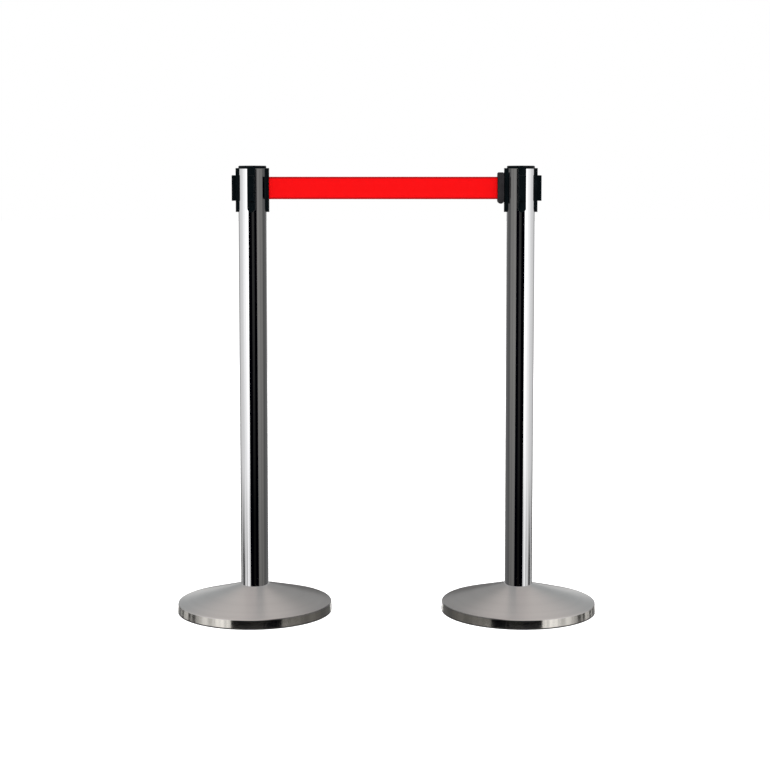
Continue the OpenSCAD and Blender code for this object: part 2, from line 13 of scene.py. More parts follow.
import bmesh
import bpy
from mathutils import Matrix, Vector


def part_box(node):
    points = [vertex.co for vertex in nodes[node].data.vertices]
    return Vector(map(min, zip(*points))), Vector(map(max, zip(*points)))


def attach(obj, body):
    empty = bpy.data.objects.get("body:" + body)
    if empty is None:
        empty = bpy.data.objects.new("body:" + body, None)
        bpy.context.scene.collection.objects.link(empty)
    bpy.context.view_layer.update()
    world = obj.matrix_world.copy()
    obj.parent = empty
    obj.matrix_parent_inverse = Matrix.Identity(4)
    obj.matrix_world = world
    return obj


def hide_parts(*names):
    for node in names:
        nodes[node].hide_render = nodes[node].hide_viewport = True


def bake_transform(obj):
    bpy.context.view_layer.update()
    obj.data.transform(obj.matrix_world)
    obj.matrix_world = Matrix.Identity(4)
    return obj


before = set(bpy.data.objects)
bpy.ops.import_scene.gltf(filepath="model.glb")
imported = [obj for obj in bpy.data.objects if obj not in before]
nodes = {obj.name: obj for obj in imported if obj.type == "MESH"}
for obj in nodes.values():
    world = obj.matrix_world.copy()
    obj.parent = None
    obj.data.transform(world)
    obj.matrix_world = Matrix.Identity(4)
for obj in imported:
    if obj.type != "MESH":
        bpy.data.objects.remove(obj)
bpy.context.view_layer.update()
MM = 0.001

# %% [markdown]
# ## Where things are
#
# A post's axis is the middle of its tube. Everything on a post is modelled once round the
# world's Z axis and then copied to both posts, so each size is written once. Heights are read
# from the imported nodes, and a direction is an angle about +Z: 0 is to the right, 270 the front.


# %% Posts, directions and heights
def middle(node):
    low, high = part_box(node)
    return (low + high) / 2


def top_of(node):
    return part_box(node)[1].z


def foot_of(node):
    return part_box(node)[0].z


POSTS = {side: middle(side + "_tube").x for side in ("left", "right")}
RECEIVERS = {
    "left": {"front": 270, "back": 90, "outer": 180},
    "right": {"front": 270, "inner": 180, "outer": 0},
}
BELT_WAY = {"left": 0, "right": 90}
BELT_Z = middle("left_belt").z
CAP_Z = foot_of("left_top_cap") + 0.9 * MM
TUBE_TOP_Z = top_of("left_tube")
COVER_TOP_Z = top_of("left_base_cover")
print("posts stand at", {side: round(x, 3) for side, x in POSTS.items()}, "belt at", round(BELT_Z, 3))

# %% [markdown]
# ## Camera
#
# The camera stands almost four metres away, a little below the caps, and looks slightly down,
# so the cone of each base shows while the tubes stay nearly parallel. A long lens keeps the
# posts from splaying, and a small lens shift sets them in the frame without tilting them.

# %% Camera
view = bpy.data.cameras.new("view")
view.lens = 80.6
view.sensor_width = 36
view.shift_y = -0.09
camera = bpy.data.objects.new("camera", view)
camera.location = (-0.0036, -3.865, 1.0)
camera.rotation_euler = (radians(90 - 4.83), 0, 0)
bpy.context.scene.collection.objects.link(camera)
bpy.context.scene.camera = camera

# %% [markdown]
# ## Modelling helpers
#
# Blender's operators act on whatever is selected, so each helper first selects just one
# piece. A turned part, such as the spun base cover or the tube, is drawn as half a section
# and spun round the axis. A moulded part starts as cubes and turned rings that are united,
# intersected and cut, and then gets a small radius on its edges, as every moulding has.


# %% Selecting and starting pieces
def choose(piece):
    """Make one piece the only selected and active one."""
    bpy.ops.object.select_all(action="DESELECT")
    piece.select_set(True)
    bpy.context.view_layer.objects.active = piece
    return piece


def start(add, name, **settings):
    """Add a primitive with its place and size kept in its mesh."""
    bpy.ops.object.select_all(action="DESELECT")
    add(**settings)
    piece = bpy.context.active_object
    piece.name = name
    bpy.ops.object.transform_apply(location=True, rotation=True, scale=True)
    return piece


def pick(piece, kind, test):
    """In edit mode, select the faces, edges or vertices that pass a test on their middle."""
    bpy.ops.mesh.select_mode(type=kind)
    bpy.ops.mesh.select_all(action="DESELECT")
    mesh = bmesh.from_edit_mesh(piece.data)
    for part in {"FACE": mesh.faces, "EDGE": mesh.edges, "VERT": mesh.verts}[kind]:
        if kind == "FACE":
            part.select_set(test(part.calc_center_median(), part.normal))
        elif kind == "EDGE":
            ends = [v.co for v in part.verts]
            part.select_set(test((ends[0] + ends[1]) / 2, ends[1] - ends[0]))
        else:
            part.select_set(test(part.co, part.normal))
    bmesh.update_edit_mesh(piece.data)


def block(name, low, high):
    """A cube primitive that fills the space between two corners."""
    low, high = Vector(low), Vector(high)
    return start(bpy.ops.mesh.primitive_cube_add, name, size=1,
                 location=(low + high) / 2, scale=high - low)


def rod(name, x, y, radius, low, high, segments=32):
    """An upright cylinder."""
    return start(bpy.ops.mesh.primitive_cylinder_add, name, vertices=segments, radius=radius,
                 depth=high - low, location=(x, y, (low + high) / 2))


# %% Half sections, and turning them
def rounded(outline, steps=6):
    """Points of an outline whose corners are (x, z) or, with a fillet, (x, z, radius)."""
    points = []
    for i, corner in enumerate(outline):
        here = Vector(corner[:2])
        radius = corner[2] if len(corner) == 3 else 0
        if not radius:
            points.append(here)
            continue
        before = (Vector(outline[i - 1][:2]) - here).normalized()
        after = (Vector(outline[(i + 1) % len(outline)][:2]) - here).normalized()
        half = before.angle(after) / 2
        centre = here + (before + after).normalized() * radius / sin(half)
        first = here + before * radius / tan(half) - centre
        last = here + after * radius / tan(half) - centre
        turn = first.angle_signed(last)
        for step in range(steps + 1):
            angle = -turn * step / steps
            points.append(centre + Vector((first.x * cos(angle) - first.y * sin(angle),
                                           first.x * sin(angle) + first.y * cos(angle))))
    return points


def turned(name, outline, segments):
    """Draw a half section point by point from one vertex, spin it about +Z and close it."""
    points = [Vector((x, 0, z)) for x, z in outline]
    piece = start(bpy.ops.mesh.primitive_plane_add, name, size=1 * MM, location=points[0])
    bpy.ops.object.mode_set(mode="EDIT")
    bpy.ops.mesh.select_mode(type="VERT")
    bpy.ops.mesh.select_all(action="SELECT")
    bpy.ops.mesh.merge(type="CENTER")
    here = points[0]
    for point in points[1:] + points[:1]:
        bpy.ops.mesh.extrude_vertices_move(TRANSFORM_OT_translate={"value": point - here})
        here = point
    bpy.ops.mesh.select_all(action="SELECT")
    bpy.ops.mesh.remove_doubles(threshold=0.001 * MM)
    bpy.ops.mesh.select_all(action="SELECT")
    bpy.ops.mesh.spin(steps=segments, angle=2 * pi, center=(0, 0, 0), axis=(0, 0, 1))
    close_up()
    bpy.ops.object.mode_set(mode="OBJECT")
    return piece


def close_up():
    """In edit mode, merge doubles and point all faces outwards."""
    bpy.ops.mesh.select_all(action="SELECT")
    bpy.ops.mesh.remove_doubles(threshold=0.001 * MM)
    bpy.ops.mesh.dissolve_degenerate(threshold=0.0005 * MM)
    bpy.ops.mesh.select_all(action="SELECT")
    bpy.ops.mesh.normals_make_consistent(inside=False)


# %% Joining, cutting and softening
def combine(piece, tool, how):
    """Unite, cut or intersect a piece with a tool, which is then used up."""
    choose(piece)
    change = piece.modifiers.new("combine", "BOOLEAN")
    change.operation = how
    change.solver = "EXACT"
    change.object = tool
    bpy.ops.object.modifier_apply(modifier=change.name)
    bpy.data.objects.remove(tool)
    return piece


def round_ends(piece, radius, test, segments=12):
    """Bevel the picked edges of a piece to a radius."""
    choose(piece)
    bpy.ops.object.mode_set(mode="EDIT")
    pick(piece, "EDGE", test)
    bpy.ops.mesh.bevel(offset=radius, segments=segments, affect="EDGES", clamp_overlap=True)
    close_up()
    bpy.ops.object.mode_set(mode="OBJECT")
    return piece


def shade(piece, sharp=35):
    """Smooth shading that lets broad faces set the normals, so that only fillets look bent."""
    choose(piece)
    bpy.ops.object.shade_smooth_by_angle(angle=radians(sharp))
    even = piece.modifiers.new("even shading", "WEIGHTED_NORMAL")
    even.keep_sharp = True
    even.weight = 100
    bpy.ops.object.modifier_apply(modifier=even.name)
    return piece


def soften(piece, width, segments=3, sharp=35):
    """Give each sharp edge a small radius, and shade the faces evenly."""
    choose(piece)
    bpy.ops.object.shade_smooth_by_angle(angle=radians(sharp))
    edge = piece.modifiers.new("soft edges", "BEVEL")
    edge.width = width
    edge.segments = segments
    edge.limit_method = "ANGLE"
    edge.angle_limit = radians(sharp)
    edge.miter_outer = "MITER_ARC"
    edge.harden_normals = True
    bpy.ops.object.modifier_apply(modifier=edge.name)
    return piece


# %% Copying a model to its place
def copy_to(model, name, x=0, y=0, turn=0):
    """Copy a model with its own mesh, turn it about +Z and move it, all inside the mesh."""
    choose(model)
    bpy.ops.object.duplicate(linked=False)
    piece = bpy.context.active_object
    piece.name = name
    piece.rotation_euler.z = radians(turn)
    piece.location = (x, y, 0)
    bpy.ops.object.transform_apply(location=True, rotation=True, scale=True)
    return piece


def paint(piece, *materials):
    """Fill the material slots of a piece."""
    piece.data.materials.clear()
    for material in materials:
        piece.data.materials.append(material)


# %% [markdown]
# ## Finishes
#
# Each finish is a Principled shader. What stays the same all over is set on the shader
# itself, and what varies comes from a few node groups that several finishes share: fine
# polishing lines, spun rings, moulded grain and woven cloth. They read Object coordinates,
# which are the piece's own, so the pattern has a real size and stays put when a piece moves.


# %% Node helpers
def node(tree, kind, inputs=None, **settings):
    """Add a node. Inputs take a value or another node's output."""
    new = tree.nodes.new("ShaderNode" + kind)
    for key, value in settings.items():
        setattr(new, key, value)
    for key, value in (inputs or {}).items():
        if isinstance(value, bpy.types.NodeSocket):
            tree.links.new(value, new.inputs[key])
        else:
            new.inputs[key].default_value = value
    return new


def sums(tree, how, *values):
    """The output of a Math node."""
    return node(tree, "Math", dict(enumerate(values)), operation=how).outputs[0]


def spread(tree, value, low, high, out_low, out_high):
    """Map a value from one range to another, held at both ends."""
    return node(tree, "MapRange", {"Value": value, "From Min": low, "From Max": high,
                                   "To Min": out_low, "To Max": out_high}).outputs["Result"]


def new_group(name, inputs, outputs):
    """A node group with named sockets; returns its tree, its inputs and its output node."""
    tree = bpy.data.node_groups.new(name, "ShaderNodeTree")
    for socket, kind in inputs.items():
        tree.interface.new_socket(socket, in_out="INPUT", socket_type="NodeSocket" + kind)
    for socket in outputs:
        tree.interface.new_socket(socket, in_out="OUTPUT", socket_type="NodeSocketFloat")
    return tree, tree.nodes.new("NodeGroupInput").outputs, tree.nodes.new("NodeGroupOutput").inputs


def use(tree, group, **inputs):
    """Place a group in a material and return its outputs."""
    placed = node(tree, "Group", node_tree=group)
    for key, value in inputs.items():
        socket = placed.inputs[key.replace("_", " ")]
        if isinstance(value, bpy.types.NodeSocket):
            tree.links.new(value, socket)
        else:
            socket.default_value = value
    return placed.outputs


def finish(name, **constants):
    """A material with a Principled shader whose even values are set on its sockets."""
    material = bpy.data.materials.new(name)
    material.use_nodes = True
    tree = material.node_tree
    shader = tree.nodes["Principled BSDF"]
    for key, value in constants.items():
        shader.inputs[key.replace("_", " ")].default_value = value
    return material, tree, shader


def place(tree, centre=(0, 0, 0), scale=(1, 1, 1)):
    """Object coordinates, moved to a centre and scaled, through a Mapping node."""
    coordinates = node(tree, "TexCoord").outputs["Object"]
    shift = [-c * s for c, s in zip(centre, scale)]
    return node(tree, "Mapping", {"Vector": coordinates, "Location": shift, "Scale": scale}).outputs[0]


def bumped(tree, shader, height, depth, strength=1.0):
    """Feed a height through a Bump node into the shader's Normal."""
    bump = node(tree, "Bump", {"Height": height, "Distance": depth, "Strength": strength})
    tree.links.new(bump.outputs[0], shader.inputs["Normal"])


def mixed_colour(tree, factor, dark, light):
    """A mix of two colours, which may be values or outputs: a Mix node's inputs 6 and 7."""
    return node(tree, "Mix", {0: factor, 6: dark, 7: light}, data_type="RGBA").outputs[2]


def tinted(tree, shader, factor, dark, light):
    """Feed Base Color with a mix of two colours."""
    tree.links.new(mixed_colour(tree, factor, (*dark, 1), (*light, 1)), shader.inputs["Base Color"])


# %% [markdown]
# ### Shared effects
#
# Polishing leaves hair-fine lines along the tube. Spinning and linishing leave rings round
# the cone. A mould's spark-eroded wall leaves an even grain on the plastic. Webbing shows
# ribs along its length, fine cross threads and a denser selvedge at both edges.

# %% Polishing lines
polish, given, gives = new_group("polishing lines", {"Vector": "Vector", "Streaks": "Float"}, ["Value"])
fine = node(polish, "TexNoise", {"Vector": given["Vector"], "Scale": 1.0, "Detail": 3.0})
broad = node(polish, "TexNoise", {"Vector": given["Vector"], "Scale": 0.21, "Detail": 1.0})
broad_part = sums(polish, "MULTIPLY", broad.outputs["Fac"], given["Streaks"])
fine_share = sums(polish, "SUBTRACT", 1.0, given["Streaks"])
fine_part = sums(polish, "MULTIPLY", fine.outputs["Fac"], fine_share)
polish.links.new(sums(polish, "ADD", broad_part, fine_part), gives["Value"])

# %% Spun rings
spun, given, gives = new_group("spun rings", {"Vector": "Vector", "Pitch": "Float"}, ["Height", "Tone"])
flat_place = node(spun, "VectorMath", {0: given["Vector"], 1: (1, 1, 0)}, operation="MULTIPLY").outputs[0]
reach = node(spun, "VectorMath", {0: flat_place}, operation="LENGTH").outputs["Value"]
rings = sums(spun, "DIVIDE", reach, given["Pitch"])
groove = node(spun, "TexNoise", {"W": rings, "Scale": 1.0, "Detail": 2.0}, noise_dimensions="1D")
tone = node(spun, "TexNoise", {"W": rings, "Scale": 0.03, "Detail": 4.0}, noise_dimensions="1D")
spun.links.new(groove.outputs["Fac"], gives["Height"])
spun.links.new(tone.outputs["Fac"], gives["Tone"])

# %% Moulded grain
grain, given, gives = new_group("moulded grain", {"Vector": "Vector", "Size": "Float"}, ["Height", "Tone"])
cells = node(grain, "VectorMath", {0: given["Vector"]}, operation="SCALE")
grain.links.new(sums(grain, "DIVIDE", 1.0, given["Size"]), cells.inputs["Scale"])
pits = node(grain, "TexNoise", {"Vector": cells.outputs[0], "Scale": 1.0, "Detail": 2.0})
patches = node(grain, "TexNoise", {"Vector": cells.outputs[0], "Scale": 0.02, "Detail": 3.0})
grain.links.new(pits.outputs["Fac"], gives["Height"])
grain.links.new(patches.outputs["Fac"], gives["Tone"])

# %% Woven webbing
weave, given, gives = new_group(
    "woven webbing", {"Vector": "Vector", "Rib": "Float", "Pick": "Float", "Half width": "Float",
                      "Selvedge": "Float"}, ["Height", "Selvedge", "Tone"])
axes = node(weave, "SeparateXYZ", {0: given["Vector"]})
along = sums(weave, "ADD", axes.outputs["X"], axes.outputs["Y"])
ribs_up = sums(weave, "DIVIDE", axes.outputs["Z"], given["Rib"])
rib = sums(weave, "SINE", sums(weave, "MULTIPLY", ribs_up, 2 * pi))
row = sums(weave, "MULTIPLY", sums(weave, "ROUND", ribs_up), pi)
pick_turn = sums(weave, "DIVIDE", sums(weave, "MULTIPLY", along, 2 * pi), given["Pick"])
cross = sums(weave, "SINE", sums(weave, "ADD", pick_turn, row))
thread = sums(weave, "ADD", sums(weave, "MULTIPLY", rib, 0.6), sums(weave, "MULTIPLY", cross, 0.4))
height = spread(weave, thread, -1.0, 1.0, 0.0, 1.0)
from_edge = sums(weave, "SUBTRACT", given["Half width"], sums(weave, "ABSOLUTE", axes.outputs["Z"]))
edge_start = sums(weave, "MULTIPLY", given["Selvedge"], 0.85)
selvedge = spread(weave, from_edge, edge_start, given["Selvedge"], 1.0, 0.0)
yarn = node(weave, "TexNoise", {"Vector": given["Vector"], "Scale": 90.0, "Detail": 5.0})
weave.links.new(height, gives["Height"])
weave.links.new(selvedge, gives["Selvedge"])
weave.links.new(yarn.outputs["Fac"], gives["Tone"])

# %% [markdown]
# ### Steel
#
# The tube is mirror-polished stainless steel: nearly white metal, very low roughness, with
# fine lines up its length. The cover is spun from the same sheet, its cone linished satin in
# rings and its rim polished brighter. Turned metal is anisotropic: its tiny rings smear a
# reflection across them. A radial tangent follows the rings, and a quarter turn of the
# anisotropy lays the smear across them, which gives the cone its soft wedges of light.


# %% Polished tube steel
tube_steel, tree, shader = finish("polished_tube_steel", Metallic=1.0)
lines = use(tree, polish, Vector=place(tree, (0, 0, 0), (900, 900, 9)), Streaks=0.4)["Value"]
tinted(tree, shader, spread(tree, lines, 0.35, 0.65, 0.0, 1.0), (0.80, 0.80, 0.81), (0.86, 0.86, 0.87))
tree.links.new(spread(tree, lines, 0.35, 0.65, 0.03, 0.07), shader.inputs["Roughness"])
bumped(tree, shader, lines, 0.0005 * MM)


# %% Turned steel of the cover
ACROSS_THE_RINGS = 0.25


def turned_steel(name, centre, dark, light, roughness, anisotropic):
    """Metal finished on a lathe: the smear of a reflection runs across its rings."""
    material, tree, shader = finish(name, Metallic=1.0, Anisotropic=anisotropic,
                                    Anisotropic_Rotation=ACROSS_THE_RINGS)
    rings_here = use(tree, spun, Vector=place(tree, centre), Pitch=0.6 * MM)
    tinted(tree, shader, spread(tree, rings_here["Tone"], 0.3, 0.7, 0.0, 1.0), dark, light)
    tree.links.new(spread(tree, rings_here["Height"], 0.3, 0.7, *roughness), shader.inputs["Roughness"])
    tangent = node(tree, "Tangent", direction_type="RADIAL", axis="Z")
    tree.links.new(tangent.outputs[0], shader.inputs["Tangent"])
    bumped(tree, shader, rings_here["Height"], 0.006 * MM)
    return material


rim_steel = {side: turned_steel("polished_rim_steel_" + side, (x, 0, 0), (0.70, 0.665, 0.61),
                                (0.75, 0.725, 0.68), (0.16, 0.19), 1.0)
             for side, x in POSTS.items()}
cone_steel = {side: turned_steel("satin_cone_steel_" + side, (x, 0, 0), (0.545, 0.535, 0.525),
                                 (0.575, 0.565, 0.555), (0.30, 0.36), 0.4)
              for side, x in POSTS.items()}


# %% [markdown]
# ### Plastics, rubber and small metal parts
#
# The head is injection-moulded in black, with a fine grain that breaks up the highlights, and
# the clip in charcoal, a shade lighter. Inside, the spool and its barrel cover are natural
# nylon, the bushes sintered bronze, and the spring blued steel. Bolts and pins are zinc-plated.


# %% Grained finishes
def grained(name, dark, light, roughness, size, depth, metallic=0.0, **constants):
    """A moulded, cast or plated surface: a grain of one size, and slow changes of tone."""
    material, tree, shader = finish(name, Metallic=metallic, **constants)
    surface = use(tree, grain, Vector=place(tree), Size=size)
    tinted(tree, shader, spread(tree, surface["Tone"], 0.35, 0.65, 0.0, 1.0), dark, light)
    tree.links.new(spread(tree, surface["Tone"], 0.35, 0.65, *roughness), shader.inputs["Roughness"])
    bumped(tree, shader, surface["Height"], depth)
    return material


black_plastic = grained("black_moulded_plastic", (0.0004, 0.0024, 0.0034), (0.0008, 0.0034, 0.0048),
                        (0.38, 0.48), 0.35 * MM, 0.02 * MM, Specular_IOR_Level=0.10)
ring_rubber = grained("black_rubber", (0.012, 0.012, 0.012), (0.022, 0.022, 0.021),
                      (0.70, 0.85), 0.5 * MM, 0.05 * MM, Specular_IOR_Level=0.3)
painted_iron = grained("painted_cast_iron", (0.045, 0.045, 0.048), (0.085, 0.085, 0.09),
                       (0.50, 0.75), 1.2 * MM, 0.25 * MM)
zinc_plate = grained("zinc_plated_steel", (0.52, 0.53, 0.55), (0.66, 0.66, 0.67),
                     (0.24, 0.38), 0.6 * MM, 0.01 * MM, metallic=1.0)
blued_spring = grained("blued_spring_steel", (0.12, 0.14, 0.22), (0.24, 0.24, 0.30),
                       (0.22, 0.34), 0.5 * MM, 0.01 * MM, metallic=1.0)
bush_bronze = grained("sintered_bronze", (0.42, 0.25, 0.11), (0.56, 0.36, 0.17),
                      (0.38, 0.52), 0.3 * MM, 0.03 * MM, metallic=1.0)
natural_nylon = grained("natural_nylon", (0.74, 0.72, 0.64), (0.82, 0.80, 0.74),
                        (0.35, 0.45), 0.5 * MM, 0.02 * MM, Subsurface_Weight=0.15)

# %% [markdown]
# ### Charcoal clip
#
# The mould of the clip is textured on the two flat cheeks only, which show the clip's charcoal
# colour. Its rounded edges are coloured almost black, which is painted shade. The distance from
# the clip's middle plane tells them apart, which a Mapping node turns into the same axis on both clips.

# %% Clip finish
CHEEK_Y = 12.97 * MM


def clip_nylon(name, centre, axis):
    """Charcoal nylon whose cheeks, which face along one axis, are textured, and whose rounded edges are
    painted almost black as shade.
    """
    material, tree, shader = finish(name, Specular_IOR_Level=0.08)
    surface = use(tree, grain, Vector=place(tree), Size=0.4 * MM)
    across = sums(tree, "ABSOLUTE", node(tree, "SeparateXYZ", {0: place(tree, centre)}).outputs[axis])
    cheek_mask_fillets_painted_dark = spread(tree, across, CHEEK_Y - 0.06 * MM, CHEEK_Y, 0.0, 1.0)
    patch = spread(tree, surface["Tone"], 0.35, 0.65, 0.0, 1.0)
    # The near-black colour of the rounded edges is painted shade; the cheeks keep the clip's charcoal
    # colour.
    plain = mixed_colour(tree, patch, (0.0030, 0.0030, 0.0034, 1), (0.0045, 0.0045, 0.0050, 1))
    textured = mixed_colour(tree, patch, (0.020, 0.0185, 0.020, 1), (0.028, 0.026, 0.028, 1))
    tree.links.new(mixed_colour(tree, cheek_mask_fillets_painted_dark, plain, textured), shader.inputs["Base Color"])
    tree.links.new(spread(tree, cheek_mask_fillets_painted_dark, 0.0, 1.0, 0.45, 0.62), shader.inputs["Roughness"])
    texture = sums(tree, "MULTIPLY", surface["Height"], spread(tree, cheek_mask_fillets_painted_dark, 0.0, 1.0, 0.4, 1.0))
    bumped(tree, shader, texture, 0.03 * MM)
    return material


clip_finish = {"left": clip_nylon("charcoal_nylon_left", middle("left_clip_body"), "Y"),
               "right": clip_nylon("charcoal_nylon_right", middle("right_clip_body"), "X")}

# %% [markdown]
# ### Belt webbing
#
# The belt is tight-woven polyester, 50 mm wide. Its ribs run along it, 1.3 mm apart, and its
# edges are woven denser and look darker. The grooves between its threads are coloured a little
# darker than the thread tops, which is painted shade. Cloth scatters a little light at grazing
# angles, which is the shader's sheen.

# %% Webbing
webbing, tree, shader = finish("red_belt_webbing", Specular_IOR_Level=0.05, Sheen_Weight=0.02,
                               Sheen_Roughness=0.4)
cloth = use(tree, weave, Vector=place(tree, (0, 0, BELT_Z)), Rib=1.3 * MM, Pick=1.1 * MM,
            Half_width=25 * MM, Selvedge=4.0 * MM)
# Thread tops get the lighter red and the grooves between them the darker red: painted shade in the weave.
weave_with_painted_groove_shade = mixed_colour(tree, cloth["Height"], (0.94, 0.0030, 0.0044, 1), (1.0, 0.0052, 0.0072, 1))
belt_colour = mixed_colour(tree, cloth["Selvedge"], weave_with_painted_groove_shade, (0.44, 0.0035, 0.0055, 1))
tree.links.new(belt_colour, shader.inputs["Base Color"])
tree.links.new(spread(tree, cloth["Tone"], 0.3, 0.7, 0.62, 0.80), shader.inputs["Roughness"])
bumped(tree, shader, cloth["Height"], 0.06 * MM, 0.6)
print("finishes:", len(bpy.data.materials))

# %% [markdown]
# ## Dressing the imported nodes
#
# Pieces inside the base and the head already have the right shape. They keep their mesh and
# get their finish here; the shells that show are replaced further down.

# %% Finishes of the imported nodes
INNER_FINISHES = {
    "base_weight": painted_iron, "floor_ring": ring_rubber, "tie_bolt": zinc_plate,
    "tie_washer": zinc_plate, "foot_plate": zinc_plate, "cassette_body": black_plastic,
    "lid_screws": zinc_plate, "guide_pins": zinc_plate, "spindle": zinc_plate,
    "spindle_ring": zinc_plate, "spool": natural_nylon, "upper_bush": bush_bronze,
    "lower_bush": bush_bronze, "power_spring": blued_spring, "barrel_cover": natural_nylon,
    "belt_winding": webbing, "clip_pin": zinc_plate,
}
for side in POSTS:
    for piece_name, material in INNER_FINISHES.items():
        paint(nodes[side + "_" + piece_name], material)
print("dressed", 2 * len(INNER_FINISHES), "packed nodes")

# %% [markdown]
# ## Base cover
#
# The cover is one sheet of stainless steel spun over a former: an upright rim that leans in
# by a millimetre, a 3 mm bend, a cone, and a small flat under the tube. Half its section is
# drawn once, with the outer line up and the inner line back down, and spun round the axis.
# The rim's faces are then polished and the rest left satin.

# %% Base cover
COVER_T = 1.2 * MM
RIM_H = 21.5 * MM
RIM_FLARE = 1 * MM
RIM_BEND_R = 3 * MM
low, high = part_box("left_base_cover")
base_r = (high.x - low.x) / 2
tube_r = (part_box("left_tube")[1].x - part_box("left_tube")[0].x) / 2
flat_r = tube_r + 1.5 * MM
cone_foot = (base_r - RIM_FLARE, RIM_H)
cover_outline = rounded([
    (base_r, low.z, 0.3 * MM),
    (*cone_foot, RIM_BEND_R),
    (flat_r, COVER_TOP_Z, 0.8 * MM),
    (tube_r - 4.5 * MM, COVER_TOP_Z),
    (tube_r - 4.5 * MM, COVER_TOP_Z - COVER_T),
    (flat_r, COVER_TOP_Z - COVER_T),
    (cone_foot[0] - COVER_T, RIM_H - COVER_T, RIM_BEND_R - COVER_T),
    (base_r - COVER_T, low.z, 0.3 * MM),
], steps=8)
cover_model = turned("cover_model", cover_outline, 256)
shade(cover_model, 40)
for side, x in POSTS.items():
    cover = copy_to(cover_model, side + "_spun_cover", x)
    paint(cover, cone_steel[side], rim_steel[side])
    for face in cover.data.polygons:
        face.material_index = int(face.center.z < RIM_H - RIM_BEND_R * 0.6)
    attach(cover, side + "_post")
    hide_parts(side + "_base_cover")
print("cover:", len(cover_outline), "points in its section,", len(cover_model.data.polygons), "faces")

# %% [markdown]
# ## Tube
#
# The tube is a 63 mm stainless tube with a 1.5 mm wall. Four slots run down from its top edge,
# and the receiver strips pass through them. It is turned with 256 steps, because a mirror
# shows every flat. The extra ring of points below the slots keeps the long mirror surface
# clear of the cuts.

# %% Tube
TUBE_WALL = 1.5 * MM
SLOT_W = 14 * MM
STRIP_W = 18 * MM
strip_z = foot_of("left_receiver_outer")
strip_top_z = top_of("left_receiver_outer")
slot_z = strip_z + (STRIP_W - SLOT_W) / 2
tube_ri = tube_r - TUBE_WALL


def tongue(name, x_low, x_high, width, z_low, z_high):
    """An upright bar along X with a full-round lower end."""
    piece = block(name, (x_low, -width / 2, z_low), (x_high, width / 2, z_high))
    middle_z = (z_low + z_high) / 2
    return round_ends(piece, width / 2 - 0.01 * MM,
                      lambda at, way: at.z < middle_z and abs(way.normalized().x) > 0.9, 20)


tube_outline = rounded([
    (tube_r, COVER_TOP_Z), (tube_r, slot_z - 4 * MM), (tube_r, TUBE_TOP_Z, 0.3 * MM),
    (tube_ri, TUBE_TOP_Z, 0.3 * MM), (tube_ri, slot_z - 4 * MM), (tube_ri, COVER_TOP_Z)], steps=3)
tube_model = turned("tube_model", tube_outline, 256)
for way in (0, 90, 180, 270):
    slot = tongue("slot", tube_ri - 3 * MM, tube_r + 1 * MM, SLOT_W, slot_z, TUBE_TOP_Z + 1 * MM)
    slot_there = copy_to(slot, "slot_there", turn=way)
    bpy.data.objects.remove(slot)
    combine(tube_model, slot_there, "DIFFERENCE")
shade(tube_model)
for side, x in POSTS.items():
    tube = copy_to(tube_model, side + "_polished_tube", x)
    paint(tube, tube_steel)
    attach(tube, side + "_post")
    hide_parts(side + "_tube")
print("tube:", len(tube_model.data.polygons), "faces")

# %% [markdown]
# ## Cap and lid
#
# The lid's flange lies on the tube's edge and its plug goes inside; the cap snaps on top and
# hides the screws. Both are turned. The cap's crown is very slightly domed and its edge has a
# generous radius, so it catches a soft line of light.

# %% Cap and lid
lid_r = tube_r - 0.3 * MM
CAP_EDGE_R = 2.5 * MM
cap_top_z = top_of("left_top_cap")
spigot_r = tube_ri / 2 - 0.2 * MM
cap_outline = rounded([
    (0, CAP_Z - 0.9 * MM), (spigot_r, CAP_Z - 0.9 * MM), (spigot_r, CAP_Z + 0.05 * MM),
    (lid_r, CAP_Z + 0.05 * MM, 0.25 * MM), (lid_r, cap_top_z - 0.4 * MM, CAP_EDGE_R),
    (lid_r * 0.5, cap_top_z - 0.1 * MM), (0, cap_top_z)], steps=8)
cap_model = turned("cap_model", cap_outline, 160)

PLUG_H = 3 * MM
SCREW_D = 2.2 * MM
SCREW_HEAD_R = 2.1 * MM
plug_r = tube_ri - 0.2 * MM
plug_z = TUBE_TOP_Z - PLUG_H
boss_r = 8 * MM
boss_z = top_of("left_spool") + 1.5 * MM
spindle_hole_r = 4.05 * MM
recess_r = tube_ri / 2
screw_r = (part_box("left_lid_screws")[1].x - POSTS["left"] - SCREW_HEAD_R) / cos(radians(45))
lid_outline = rounded([
    (0, top_of("left_spindle") + 0.3 * MM), (spindle_hole_r, top_of("left_spindle") + 0.3 * MM),
    (spindle_hole_r, boss_z), (boss_r, boss_z, 0.3 * MM), (boss_r, plug_z, 0.5 * MM),
    (plug_r, plug_z, 0.4 * MM), (plug_r, TUBE_TOP_Z), (lid_r, TUBE_TOP_Z, 0.25 * MM),
    (lid_r, CAP_Z, 0.25 * MM), (recess_r, CAP_Z), (recess_r, CAP_Z - 1 * MM), (0, CAP_Z - 1 * MM)], steps=4)
lid_model = turned("lid_model", lid_outline, 160)
for turn in (45, 135, 225, 315):
    x, y = screw_r * cos(radians(turn)), screw_r * sin(radians(turn))
    combine(lid_model, rod("hole", x, y, SCREW_D / 2 + 0.15 * MM, plug_z - 1 * MM, CAP_Z + 1 * MM, 24),
            "DIFFERENCE")
    combine(lid_model, rod("counterbore", x, y, SCREW_D, CAP_Z - 1.5 * MM, CAP_Z + 1 * MM, 24),
            "DIFFERENCE")

